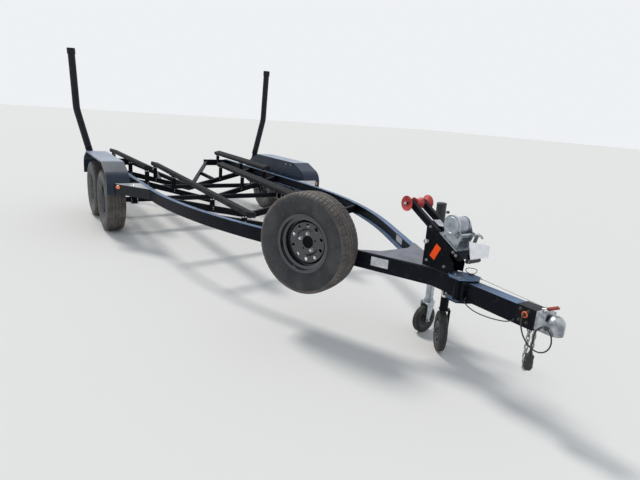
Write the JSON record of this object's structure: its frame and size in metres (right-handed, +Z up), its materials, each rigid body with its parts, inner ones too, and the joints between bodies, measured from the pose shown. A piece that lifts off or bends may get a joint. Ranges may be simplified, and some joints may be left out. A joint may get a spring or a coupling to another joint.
{
  "type": "boat trailer",
  "caption": "Tandem-axle boat trailer with bunks, guide posts, fenders, winch stand, folding tongue, jack and spare wheel",
  "frame": {"origin": "on the ground, below the middle of the trailer's length and width", "axes": "+Z up, -Y towards the coupler, +Y towards the tail, spare wheel on the -X side"},
  "size_m": [2.7564, 6.52, 1.9798],
  "materials": {
    "frame_paint": "semi-gloss paint",
    "fender_paint": "semi-gloss paint",
    "rim_paint": "gloss black paint",
    "tyre": "worn rubber",
    "galvanised": "zinc plated",
    "bright_steel": "machined",
    "spring_steel": "matt",
    "carpet": "ribbed carpet",
    "black_plastic": "satin",
    "grey_plastic": "satin",
    "latch_red": "semi-gloss paint",
    "roller_red": "satin",
    "amber": "glossy",
    "lamp_red": "glossy",
    "caster_rubber": "matt"
  },
  "bodies": {
    "trailer": {"axle_front": "frame_paint", "axle_rear": "frame_paint", "bow_arms": "frame_paint", "bunk_posts": "frame_paint", "bunks_inner": "carpet", "bunks_outer": "carpet", "dolly_leg": "frame_paint", "fender_left": "fender_paint", "fender_right": "fender_paint", "fender_steps": "frame_paint", "guide_arms": "galvanised", "guide_sleeves": "black_plastic", "gusset_plate": "frame_paint", "hinge_pin": "bright_steel", "hinge_plates": "frame_paint", "jack_tube": "galvanised", "leaf_springs": "spring_steel", "marker_lamps": "amber", "pull_pin": "bright_steel", "rail_left": "frame_paint", "rail_right": "frame_paint", "rear_braces": "frame_paint", "rear_crossmember": "frame_paint", "spare_carrier": "frame_paint", "spare_rim": "rim_paint", "spare_tyre": "tyre", "spring_hangers": "frame_paint", "stand_reflector": "amber", "tail_lamps": "lamp_red", "tongue_stub": "frame_paint", "v_crossmembers": "frame_paint", "winch_frame": "galvanised", "winch_stand": "frame_paint"},
    "folding_tongue": {"tongue_fold": "frame_paint", "coupler": "galvanised", "coupler_latch": "latch_red", "safety_chains": "galvanised", "harness_cord": "black_plastic", "harness_plug": "grey_plastic", "safety_cable": "black_plastic"},
    "jack_inner": {"jack_leg": "galvanised"},
    "caster": {"caster_fork": "galvanised"},
    "caster_roller": {"caster_wheel": "caster_rubber"},
    "dolly_roller": {"dolly_wheel": "caster_rubber"},
    "drum": {"winch_drum": "galvanised"},
    "crank": {"winch_crank": "galvanised", "crank_grip": "black_plastic"},
    "rollers": {"bow_rollers": "roller_red"},
    "wheel_left_front": {"tyre_left_front": "tyre", "rim_left_front": "rim_paint", "hub_left_front": "bright_steel"},
    "wheel_left_rear": {"tyre_left_rear": "tyre", "rim_left_rear": "rim_paint", "hub_left_rear": "bright_steel"},
    "wheel_right_front": {"tyre_right_front": "tyre", "rim_right_front": "rim_paint", "hub_right_front": "bright_steel"},
    "wheel_right_rear": {"tyre_right_rear": "tyre", "rim_right_rear": "rim_paint", "hub_right_rear": "bright_steel"}
  },
  "joints": [
    {"name": "spin_left_front", "type": "hinge", "parent": "trailer", "child": "wheel_left_front", "pos_m": [-1.156, 1.31, 0.332], "axis": [1, 0, 0], "continuous": true},
    {"name": "spin_left_rear", "type": "hinge", "parent": "trailer", "child": "wheel_left_rear", "pos_m": [-1.156, 2.115, 0.332], "axis": [1, 0, 0], "continuous": true},
    {"name": "spin_right_front", "type": "hinge", "parent": "trailer", "child": "wheel_right_front", "pos_m": [1.156, 1.31, 0.332], "axis": [1, 0, 0], "continuous": true},
    {"name": "spin_right_rear", "type": "hinge", "parent": "trailer", "child": "wheel_right_rear", "pos_m": [1.156, 2.115, 0.332], "axis": [1, 0, 0], "continuous": true},
    {"name": "tongue_fold", "type": "hinge", "parent": "trailer", "child": "folding_tongue", "pos_m": [-0.062, -2.675, 0.535], "axis": [0, 0, -1], "range_deg": [0, 90]},
    {"name": "jack_lift", "type": "slide", "parent": "trailer", "child": "jack_inner", "axis": [0, 0, 1], "range_m": [0, 0.1]},
    {"name": "caster_swivel", "type": "hinge", "parent": "jack_inner", "child": "caster", "pos_m": [0.29, -2.158, 0.232], "axis": [0, 0, 1], "continuous": true},
    {"name": "caster_spin", "type": "hinge", "parent": "caster", "child": "caster_roller", "pos_m": [0.26207, -2.15995, 0.097], "axis": [0.0698, -0.9976, 0], "continuous": true},
    {"name": "dolly_spin", "type": "hinge", "parent": "trailer", "child": "dolly_roller", "pos_m": [0.168, -2.403, 0.128], "axis": [0.788, -0.6157, 0], "continuous": true},
    {"name": "crank_turn", "type": "hinge", "parent": "trailer", "child": "crank", "pos_m": [0, -2.61403, 0.81502], "axis": [1, 0, 0], "continuous": true},
    {"name": "drum_turn", "type": "hinge", "parent": "trailer", "child": "drum", "pos_m": [0, -2.57572, 0.87503], "axis": [1, 0, 0], "continuous": true},
    {"name": "roller_spin", "type": "hinge", "parent": "trailer", "child": "rollers", "pos_m": [0, -2.23, 0.932], "axis": [1, 0, 0], "continuous": true}
  ],
  "couplings": [
    {"joint": "crank_turn", "follows": "drum_turn", "ratio": -3.2}
  ]
}
